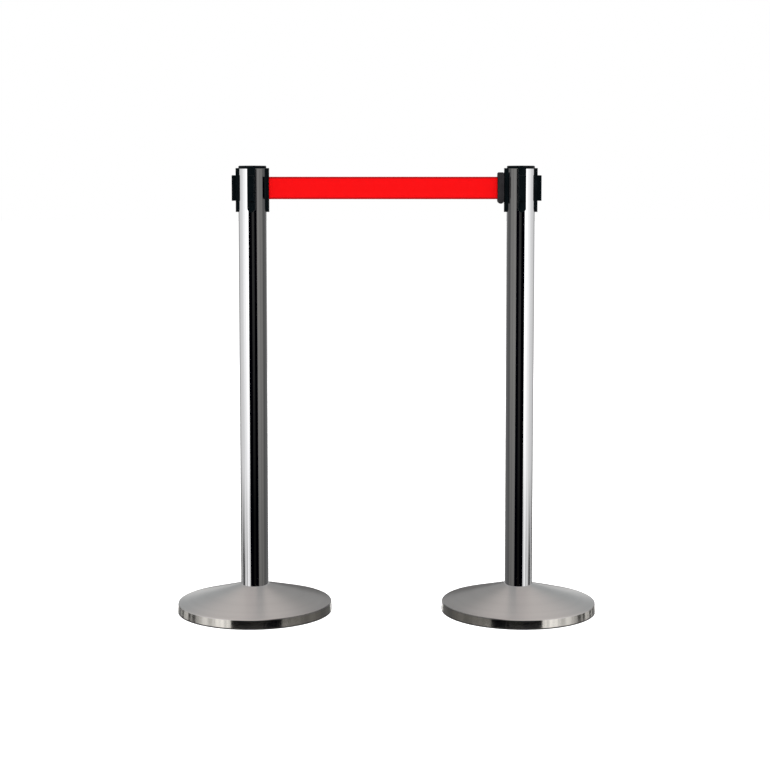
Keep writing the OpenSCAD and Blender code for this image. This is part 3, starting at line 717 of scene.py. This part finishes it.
for model in (cap_model, lid_model):
    shade(model)
for side, x in POSTS.items():
    for model, title, piece_name in ((cap_model, "_domed_cap", "_top_cap"),
                                     (lid_model, "_head_lid", "_cassette_lid")):
        piece = copy_to(model, side + title, x)
        paint(piece, black_plastic)
        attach(piece, side + "_post")
        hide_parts(side + piece_name)
print("cap and lid:", len(cap_model.data.polygons), len(lid_model.data.polygons), "faces")

# %% [markdown]
# ## Receivers
#
# A receiver is a strip bent to the tube, full-round at its lower end, with a neck through the
# tube's slot and a flange behind the wall. A T-shaped rail stands out from it, which the clip
# of another belt drops over. It is modelled once, pointing along +X, from a turned ring
# intersected with a tongue, and its rail is a neck and a chamfered head.

# %% Receiver
FACE_R = 37.5 * MM
FLANGE_T = 1.4 * MM
RAIL_H = 57 * MM
NECK_W = 7 * MM
NECK_D = 3.9 * MM
HEAD_W = 14 * MM
HEAD_D = 4.5 * MM
LEAD_IN = 1.2 * MM
rail_z = BELT_Z - RAIL_H / 2
flange_ri = plug_r - FLANGE_T


def pipe(name, outer_r, inner_r, z_low, z_high, segments=160):
    """A plain ring or pipe round the axis."""
    return turned(name, [Vector(p) for p in ((outer_r, z_low), (outer_r, z_high),
                                             (inner_r, z_high), (inner_r, z_low))], segments)


def strip(name):
    """The outer plate, its neck through the tube's slot, and the flange inside."""
    piece = tongue(name, tube_r - 3 * MM, FACE_R + 1 * MM, STRIP_W, strip_z, strip_top_z)
    combine(piece, pipe("plate_ring", FACE_R, tube_r + 0.1 * MM, strip_z - 1 * MM, strip_top_z + 1 * MM),
            "INTERSECT")
    neck = tongue("neck", flange_ri + 0.5 * MM, tube_r + 1.5 * MM, SLOT_W - 0.4 * MM,
                  slot_z + 0.2 * MM, TUBE_TOP_Z - 0.1 * MM)
    combine(neck, rod("plug_room", 0, 0, (plug_r + tube_ri) / 2, plug_z - 0.2 * MM, cap_top_z, 160),
            "DIFFERENCE")
    combine(piece, neck, "UNION")
    flange = block("flange", (0, -STRIP_W / 2, slot_z + 0.2 * MM), (tube_r, STRIP_W / 2, plug_z - 0.4 * MM))
    combine(flange, pipe("flange_ring", plug_r, flange_ri, strip_z, strip_top_z), "INTERSECT")
    return combine(piece, flange, "UNION")


def rail(name):
    """The T-shaped rail, with a chamfer at its top that leads the clip in."""
    rail_top_z = rail_z + RAIL_H
    piece = block(name, (FACE_R - 0.8 * MM, -NECK_W / 2, rail_z),
                  (FACE_R + NECK_D + 0.5 * MM, NECK_W / 2, rail_top_z))
    head = block("head", (FACE_R + NECK_D, -HEAD_W / 2, rail_z),
                 (FACE_R + NECK_D + HEAD_D, HEAD_W / 2, rail_top_z))
    outer_x = FACE_R + NECK_D + HEAD_D / 2
    round_ends(head, LEAD_IN, lambda at, way: at.z > BELT_Z + 1 * MM and at.x > outer_x + 1 * MM
               and abs(way.normalized().y) > 0.9, 1)
    return combine(piece, head, "UNION")


receiver_model = combine(strip("receiver_model"), rail("rail"), "UNION")
soften(receiver_model, 0.35 * MM)
for side, ways in RECEIVERS.items():
    for way, turn in ways.items():
        receiver = copy_to(receiver_model, f"{side}_rail_receiver_{way}", POSTS[side], turn=turn)
        paint(receiver, black_plastic)
        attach(receiver, side + "_post")
        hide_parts(f"{side}_receiver_{way}")
print("receiver:", len(receiver_model.data.polygons), "faces")

# %% [markdown]
# ## Belt outlet
#
# The fourth strip has no rail. The belt leaves through a slot in it whose outer edges are
# flared, so that the webbing never rubs on a corner, and a block behind it holds two steel
# guide pins. The flare is a cube whose outer face is widened in edit mode.

# %% Belt outlet
MOUTH_W = 2.4 * MM
MOUTH_H = 54 * MM
FLARE = 3 * MM
BELT_ROOM = 53 * MM
pin_low, pin_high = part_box("left_guide_pins")
pin_r = (pin_high.x - pin_low.x) / 2
pin_x = (pin_high.x + pin_low.x) / 2 - POSTS["left"]
pin_y = (pin_high.y - pin_low.y) / 2 - pin_r
window_w = 2 * (pin_y + pin_r + 0.6 * MM)
block_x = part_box("left_belt_outlet")[0].x - POSTS["left"]
block_z = BELT_Z - BELT_ROOM / 2 - 6 * MM

outlet_model = strip("outlet_model")
carrier = block("carrier", (block_x, -STRIP_W / 2, block_z), (tube_r, STRIP_W / 2, plug_z - 0.2 * MM))
combine(carrier, rod("carrier_limit", 0, 0, flange_ri + 0.5 * MM, block_z - 1 * MM, TUBE_TOP_Z, 160),
        "INTERSECT")
combine(outlet_model, carrier, "UNION")
combine(outlet_model, block("window", (block_x - 1 * MM, -window_w / 2, BELT_Z - BELT_ROOM / 2),
                            (plug_r, window_w / 2, BELT_Z + BELT_ROOM / 2)), "DIFFERENCE")
combine(outlet_model, block("mouth", (tube_ri - 4 * MM, -MOUTH_W / 2, BELT_Z - MOUTH_H / 2),
                            (FACE_R + 1 * MM, MOUTH_W / 2, BELT_Z + MOUTH_H / 2)), "DIFFERENCE")
flare = block("flare", (FACE_R - 2.5 * MM, -MOUTH_W / 2 + 0.1 * MM, BELT_Z - MOUTH_H / 2 - 0.01 * MM),
              (FACE_R + 1 * MM, MOUTH_W / 2 - 0.1 * MM, BELT_Z + MOUTH_H / 2 + 0.01 * MM))
choose(flare)
bpy.ops.object.mode_set(mode="EDIT")
pick(flare, "FACE", lambda at, normal: normal.x > 0.9)
bpy.ops.transform.resize(value=(1, (MOUTH_W / 2 + FLARE) / (MOUTH_W / 2 - 0.1 * MM), 1))
bpy.ops.object.mode_set(mode="OBJECT")
combine(outlet_model, flare, "DIFFERENCE")
for y in (-pin_y, pin_y):
    pin_seat = rod("pin_seat", pin_x, y, pin_r + 0.05 * MM, BELT_Z - BELT_ROOM / 2 - 2.5 * MM,
                   BELT_Z + BELT_ROOM / 2 + 2.5 * MM)
    combine(outlet_model, pin_seat, "DIFFERENCE")
soften(outlet_model, 0.25 * MM, 2)
for side, turn in BELT_WAY.items():
    outlet = copy_to(outlet_model, side + "_flared_outlet", POSTS[side], turn=turn)
    paint(outlet, black_plastic)
    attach(outlet, side + "_post")
    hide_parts(side + "_belt_outlet")
print("outlet:", len(outlet_model.data.polygons), "faces")

# %% [markdown]
# ## Belt clip
#
# The clip at the belt's end is a soft block: a full-round foot, rounded upper corners and a
# generous fillet round both cheeks. It starts as a cube whose edges are bevelled in two steps,
# first the side view's corners, then the outline of the cheeks. Its socket, the slot for the
# belt and the chamber for the belt's loop are then cut.

# %% Belt clip
CLIP_TOP_R = 3.5 * MM
CHEEK_R = 4.2 * MM
BACK_T = 1.3 * MM
PIN_ROOM = 3.45 * MM
SOCKET_X = 5.85 * MM
SLIDE_GAP = 0.35 * MM
BELT_T = 0.6 * MM
BELT_W = 50 * MM
low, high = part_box("left_clip_body")
clip_d, clip_w = high.x - low.x, high.y - low.y
clip_z, clip_top_z = low.z, high.z
socket_top_z = BELT_Z + RAIL_H / 2 + 0.1 * MM
lip_x = clip_d + 0.5 * MM - NECK_D + SLIDE_GAP

clip_model = block("clip_model", (0, -clip_w / 2, clip_z), (clip_d, clip_w / 2, clip_top_z))
round_ends(clip_model, clip_d / 2 - 0.01 * MM,
           lambda at, way: at.z < BELT_Z - 1 * MM and abs(way.normalized().y) > 0.9, 14)
round_ends(clip_model, CLIP_TOP_R,
           lambda at, way: at.z > clip_top_z - 0.1 * MM and abs(way.normalized().y) > 0.9
           and abs(at.x - clip_d / 2) > clip_d / 2 - 0.1 * MM, 10)
round_ends(clip_model, CHEEK_R,
           lambda at, way: abs(at.y) > clip_w / 2 - 0.01 * MM and abs(way.normalized().y) < 0.1, 6)
combine(clip_model, block("socket", (SOCKET_X, -HEAD_W / 2 - SLIDE_GAP, clip_z - 1 * MM),
                          (lip_x, HEAD_W / 2 + SLIDE_GAP, socket_top_z)), "DIFFERENCE")
combine(clip_model, block("neck_slot", (SOCKET_X + 1 * MM, -NECK_W / 2 - SLIDE_GAP, clip_z - 1 * MM),
                          (clip_d + 1 * MM, NECK_W / 2 + SLIDE_GAP, socket_top_z)), "DIFFERENCE")
combine(clip_model, block("chamber", (BACK_T, -PIN_ROOM / 2 - 0.1 * MM, BELT_Z - BELT_W / 2 - 1 * MM),
                          (BACK_T + PIN_ROOM, PIN_ROOM / 2 + 0.1 * MM, BELT_Z + BELT_W / 2 + 1 * MM)),
        "DIFFERENCE")
combine(clip_model, block("belt_slot", (-1 * MM, -BELT_T, BELT_Z - BELT_W / 2 - 1 * MM),
                          (BACK_T + 1 * MM, BELT_T, BELT_Z + BELT_W / 2 + 1 * MM)), "DIFFERENCE")
clip_pin_x = middle("left_clip_pin").x - low.x
clip_pin_r = (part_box("left_clip_pin")[1].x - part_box("left_clip_pin")[0].x) / 2
combine(clip_model, rod("pin_hole", clip_pin_x, 0, clip_pin_r + 0.05 * MM, BELT_Z - BELT_W / 2 - 3 * MM,
                        BELT_Z + BELT_W / 2 + 3 * MM, 24), "DIFFERENCE")
soften(clip_model, 0.2 * MM, 2)
CLIPS = {"left": (low.x, 0, 0, "belt_clip"),
         "right": (POSTS["right"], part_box("right_clip_body")[0].y, 90, "right_clip")}
for side, (x, y, turn, body) in CLIPS.items():
    clip = copy_to(clip_model, side + "_hook_clip", x, y, turn)
    paint(clip, clip_finish[side])
    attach(clip, body)
    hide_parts(side + "_clip_body")
print("clip:", len(clip_model.data.polygons), "faces")

# %% [markdown]
# ## Belts
#
# Each belt leaves its winding at a tangent, turns round a guide pin, goes out through the
# mouth and ends in a loop round the clip's pin. The webbing is a strip of edges extruded along
# that route and then given its 0.6 mm thickness. The drawn belt is two pieces, one for each
# joint that it crosses.


# %% Belt route and strip
def straight(here, there, step=4 * MM):
    """Points from here to there, at even steps of about 4 mm."""
    count = max(1, round((there - here).length / step))
    return [here.lerp(there, i / count) for i in range(count + 1)]


def winding_radius(side):
    low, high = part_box(side + "_belt_winding")
    return (high.x - low.x) / 2


def route(side, end):
    """Points of a belt's middle line, in its post's own frame, from the winding to end."""
    radius = winding_radius(side) + 0.15 * MM + BELT_T / 2
    first = atan2(-pin_y, pin_x) - acos((pin_y + radius) / hypot(pin_x, pin_y))
    points = [Vector((radius * cos(first), radius * sin(first)))]
    steps = 10
    for step in range(steps + 1):
        angle = first + pi + (pi / 2 - first - pi) * step / steps
        points.append(Vector((pin_x + pin_y * cos(angle), -pin_y + pin_y * sin(angle))))
    return points + straight(points[-1], Vector((end, 0)))[1:]


def loop_end(clip_start):
    """The loop round the clip's pin, reached from the belt's straight run."""
    loop_r = clip_pin_r + 0.1 * MM + BELT_T / 2
    centre = Vector((clip_start + clip_pin_x, 0))
    return [centre + loop_r * Vector((cos(a), sin(a))) for a in
            (radians(180 - 15 * i) for i in range(23))]


def belt_strip(name, points, x, turn):
    """Extrude an upright edge along the points, and give the strip its thickness."""
    piece = start(bpy.ops.mesh.primitive_plane_add, name, size=BELT_W,
                  rotation=(radians(90), 0, 0), location=(points[0].x, points[0].y, BELT_Z))
    bpy.ops.object.mode_set(mode="EDIT")
    first_x = points[0].x
    pick(piece, "VERT", lambda at, normal: at.x > first_x)
    bpy.ops.mesh.delete(type="VERT")
    bpy.ops.mesh.select_all(action="SELECT")
    bpy.ops.transform.translate(value=(BELT_W / 2, 0, 0))
    bpy.ops.mesh.subdivide(number_cuts=3)
    here = points[0]
    for point in points[1:]:
        step = Vector((point.x - here.x, point.y - here.y, 0))
        bpy.ops.mesh.extrude_region_move(TRANSFORM_OT_translate={"value": step})
        here = point
    bpy.ops.object.mode_set(mode="OBJECT")
    wall = piece.modifiers.new("thickness", "SOLIDIFY")
    wall.thickness = BELT_T
    wall.offset = 0
    wall.use_even_offset = True
    bpy.ops.object.modifier_apply(modifier=wall.name)
    choose(piece)
    bpy.ops.object.mode_set(mode="EDIT")
    close_up()
    bpy.ops.object.mode_set(mode="OBJECT")
    soften(piece, 0.15 * MM, 2, 60)
    placed = copy_to(piece, name, x, turn=turn)
    bpy.data.objects.remove(piece)
    placed.name = name
    paint(placed, webbing)
    return placed


def run_length(points):
    """The flat length of a belt along its points."""
    return sum((b - a).length for a, b in zip(points, points[1:]))


# %% The drawn belt
half_way = 0.1225
span_points = route("left", half_way - POSTS["left"])
span = belt_strip("left_belt_span", span_points, POSTS["left"], BELT_WAY["left"])
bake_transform(span)
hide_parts("left_belt")

clip_start = low.x
loop_points = loop_end(clip_start)
tail_points = straight(Vector((half_way, 0)), loop_points[0]) + loop_points[1:]
tail = belt_strip("left_belt_tail", tail_points, 0, 0)
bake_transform(tail)
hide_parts("left_belt")

# %% The wound-in belt
parked_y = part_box("right_clip_body")[0].y
parked_loop = loop_end(parked_y)
stub_points = route("right", parked_loop[0].x) + parked_loop[1:]
stub = belt_strip("right_belt_stub", stub_points, POSTS["right"], BELT_WAY["right"])
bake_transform(stub)
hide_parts("right_belt")
print("belts: span", round(run_length(span_points), 4), "tail", round(run_length(tail_points), 4),
      "stub", round(run_length(stub_points), 4))

# %% Clear the models that were only copied from
for model in (cover_model, tube_model, cap_model, lid_model, receiver_model, outlet_model, clip_model):
    bpy.data.objects.remove(model)

# %% [markdown]
# ## Stage and light
#
# A mirror tube shows only what stands round it, so its look is made with cards, as in a
# product studio. Across a tube, its middle shows what stands in front, and its edges what
# stands behind: a black card in front of the camera gives the dark band down the middle, white
# panels on both sides the bright outer bands, and a grey card between the posts the inner
# ones. Far cards behind the pair do the same for views from the back. All of them show in
# reflections only.


# %% Cards seen only in reflections
LOW_Z, HIGH_Z = -0.3, 0.6
SECOND_HAND_TONE = 0.6


def grey(value):
    """A neutral tone."""
    return (value, value, value)


def upright(name, tones, start_at, end_at, z_low=-3.0, z_high=1.15, low_share=1.0, ripple=0.0,
            slats=0.0):
    """A panel over the line between two plan points, which shows only in reflections.

    It glows from one tone at its start to another at its end, less a ripple of darker upright
    bands. Below LOW_Z it keeps only low_share of that, and its bands are as deep as slats. In
    a reflection of a reflection it is plain grey, so that the tube throws no dark streaks on
    the satin cone.
    """
    piece = start(bpy.ops.mesh.primitive_plane_add, name, size=1)
    (x0, y0), (x1, y1) = start_at, end_at
    corners = ((x0, y0, z_low), (x1, y1, z_low), (x0, y0, z_high), (x1, y1, z_high))
    for vertex, corner in zip(piece.data.vertices, corners):
        vertex.co = corner
    glow = bpy.data.materials.new(name)
    glow.use_nodes = True
    tree = glow.node_tree
    tree.nodes.clear()
    places = node(tree, "TexCoord").outputs
    along = node(tree, "SeparateXYZ", {0: places["UV"]}).outputs["X"]
    up = node(tree, "SeparateXYZ", {0: places["Object"]}).outputs["Z"]
    tone = mixed_colour(tree, along, *[(*rgb, 1) for rgb in tones])
    wave = node(tree, "TexNoise", {"W": along, "Scale": 7.0, "Detail": 2.0}, noise_dimensions="1D")
    stripes = spread(tree, wave.outputs["Fac"], 0.44, 0.56, 0.0, 1.0)
    band = sums(tree, "MULTIPLY", stripes, spread(tree, up, LOW_Z, 0, slats, ripple))
    share = sums(tree, "SUBTRACT", spread(tree, up, LOW_Z, HIGH_Z, low_share, 1.0), band)
    light = node(tree, "Emission", {"Color": tone, "Strength": share})
    plain = node(tree, "Emission", {"Color": (*grey(SECOND_HAND_TONE), 1), "Strength": 1.0})
    second_hand = sums(tree, "GREATER_THAN", node(tree, "LightPath").outputs["Glossy Depth"], 1.5)
    seen_light = node(tree, "MixShader", {0: second_hand, 1: light.outputs[0], 2: plain.outputs[0]})
    tree.links.new(seen_light.outputs[0], node(tree, "OutputMaterial").inputs["Surface"])
    paint(piece, glow)
    piece.visible_camera = False
    piece.visible_diffuse = False
    piece.visible_shadow = False
    piece.visible_transmission = False
    piece.visible_volume_scatter = False
    return piece


# %% Cards round the pair
CARD_X, CARD_Y, FAR_Y = 1.84, -2.6, 9.0
BLACK = (0.0, 0.0, 0.001)
upright("black_card", (BLACK, BLACK), (-CARD_X, CARD_Y), (CARD_X, CARD_Y))
upright("black_card_streak", (grey(0.032), grey(0.032)), (-0.42, CARD_Y + 0.05), (0.42, CARD_Y + 0.05),
        low_share=0.15)
upright("black_divider", (BLACK, BLACK), (0, -0.75), (0, -0.39), -0.5, 1.05)
upright("back_black_card", (BLACK, BLACK), (-1.6, FAR_Y), (1.6, FAR_Y))
upright("middle_card", (grey(0.36), grey(0.36)), (-0.22, 1.5), (0.22, 1.5), 0.2, 1.3)
for way, title in ((-1, "left"), (1, "right")):
    upright(title + "_back_white_card", (grey(1.1), grey(0.6)), (way * 1.6, FAR_Y), (way * 4.6, FAR_Y))
    upright(title + "_back_dark_card", (grey(0.18), grey(0.18)), (way * 4.6, FAR_Y), (way * 9.3, FAR_Y))
    upright(title + "_white_panel", (grey(1.7), grey(0.84)), (way * CARD_X, CARD_Y), (way * 2.1, 0.0),
            low_share=0.78, ripple=0.06, slats=0.4)
    upright(title + "_pale_panel", (grey(0.82), grey(0.50)), (way * 2.1, 0.0), (way * 2.2, 2.2),
            low_share=0.9, ripple=0.05, slats=1.0)
upright("grey_card_front", ((0.26, 0.255, 0.245), (0.19, 0.187, 0.18)), (0, -0.39), (0, 0.0), -0.12, 1.05,
        low_share=0.6, ripple=0.15, slats=0.15)
upright("grey_card_back", (grey(0.095), grey(0.15)), (0, 0.0), (0, 0.30), -0.12, 1.05, ripple=0.1, slats=0.1)

# %% [markdown]
# ## The belt's reflection
#
# In the tubes the belt shows as a black block beside each strip. The red webbing keeps out of
# reflections, and a black ribbon takes its place in them.

# %% The belt's reflection
for belt in (span, tail):
    belt.visible_glossy = False
upright("belt_shadow", (BLACK, BLACK), (POSTS["left"] + FACE_R, 0), (clip_start, 0),
        BELT_Z - BELT_W / 2, BELT_Z + BELT_W / 2)

# %% [markdown]
# ## Floor, sky and lamps
#
# The floor is pale and can't be seen from below, so that the underside shows. The sky tells
# rays apart: the camera sees white, a reflection sees grey that turns warmer overhead, and all
# else gets an even fill. Three large soft lamps light the belt and the plastic.

# %% Floor
floor = start(bpy.ops.mesh.primitive_plane_add, "floor", size=60, location=(0, 0, -0.1 * MM))
pale, tree, shader = finish("pale_floor", Base_Color=(0.9, 0.9, 0.9, 1), Roughness=1.0,
                            Specular_IOR_Level=0.0, Emission_Color=(1, 1, 1, 1), Emission_Strength=0.75)
from_below = node(tree, "NewGeometry").outputs["Backfacing"]
clear = node(tree, "BsdfTransparent")
one_sided = node(tree, "MixShader", {0: from_below, 1: shader.outputs[0], 2: clear.outputs[0]})
tree.links.new(one_sided.outputs[0], tree.nodes["Material Output"].inputs["Surface"])
paint(floor, pale)
floor.visible_glossy = False
floor.visible_diffuse = False

# %% Sky
sky = bpy.data.worlds.new("sky")
sky.use_nodes = True
tree = sky.node_tree
tree.nodes.clear()
seen = node(tree, "Background", {"Color": (1, 1, 1, 1), "Strength": 1.0})
upwards = node(tree, "SeparateXYZ", {0: node(tree, "TexCoord").outputs["Generated"]}).outputs["Z"]
overhead = spread(tree, upwards, 0.45, 0.8, 0.0, 1.0)
sky_colour = mixed_colour(tree, overhead, (0.47, 0.49, 0.50, 1), (0.95, 0.88, 0.85, 1))
reflected = node(tree, "Background", {"Color": sky_colour, "Strength": 1.0})
around = node(tree, "Background", {"Color": (0.45, 0.45, 0.45, 1), "Strength": 1.0})
rays = node(tree, "LightPath").outputs
unseen = node(tree, "MixShader", {0: rays["Is Glossy Ray"], 1: around.outputs[0], 2: reflected.outputs[0]})
all_rays = node(tree, "MixShader", {0: rays["Is Camera Ray"], 1: unseen.outputs[0], 2: seen.outputs[0]})
tree.links.new(all_rays.outputs[0], node(tree, "OutputWorld").inputs["Surface"])
bpy.context.scene.world = sky
bpy.context.scene.view_settings.view_transform = "Standard"


# %% Lamps
def lamp(name, at, aim, size, power):
    """A large soft area lamp that doesn't show in reflections."""
    data = bpy.data.lights.new(name, "AREA")
    data.size = size
    data.energy = power
    lamp_object = bpy.data.objects.new(name, data)
    lamp_object.location = at
    lamp_object.rotation_euler = (Vector(aim) - Vector(at)).to_track_quat("-Z", "Y").to_euler()
    lamp_object.visible_glossy = False
    bpy.context.scene.collection.objects.link(lamp_object)


lamp("front_lamp", (0, -4.0, 2.2), (0, 0, 0.6), 3.0, 110)
lamp("back_lamp", (0, 4.0, 2.6), (0, 0, 0.6), 3.0, 80)
lamp("top_lamp", (0, 0.3, 3.5), (0, 0, 0), 3.5, 60)
